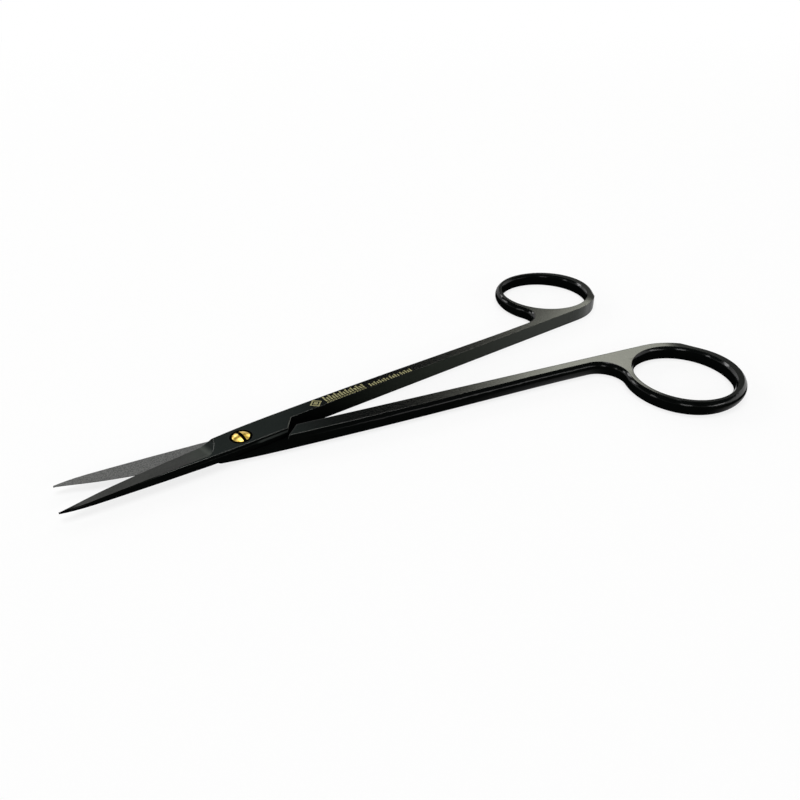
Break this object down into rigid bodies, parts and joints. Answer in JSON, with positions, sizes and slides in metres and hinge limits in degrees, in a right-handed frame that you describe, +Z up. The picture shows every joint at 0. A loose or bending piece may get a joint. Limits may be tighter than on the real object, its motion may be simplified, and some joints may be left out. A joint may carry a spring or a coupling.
{
  "type": "suture scissors",
  "caption": "Slim straight suture scissors with pointed ground blades, a lap joint on a slotted screw, long flat-sided shanks and round finger rings.",
  "frame": {"origin": "on the pivot's axis, in the plane that the scissors lie on", "axes": "+X from the tips towards the finger rings along the bisector of the open halves, +Z up out of the screw's head, +Y towards the ring of the upper half"},
  "size_m": [0.1427, 0.0764, 0.0038],
  "materials": {
    "black_coating": "satin black coating on steel",
    "gold_screw": "polished gold colour"
  },
  "bodies": {
    "lower": {"lower_half": "black_coating", "pivot_screw": "gold_screw"},
    "upper": {"upper_half": "black_coating"}
  },
  "joints": [
    {"name": "scissor_pivot", "type": "hinge", "parent": "lower", "child": "upper", "pos_m": [0, 0, 0], "axis": [0, 0, 1], "range_deg": [-13.7, 86]}
  ]
}
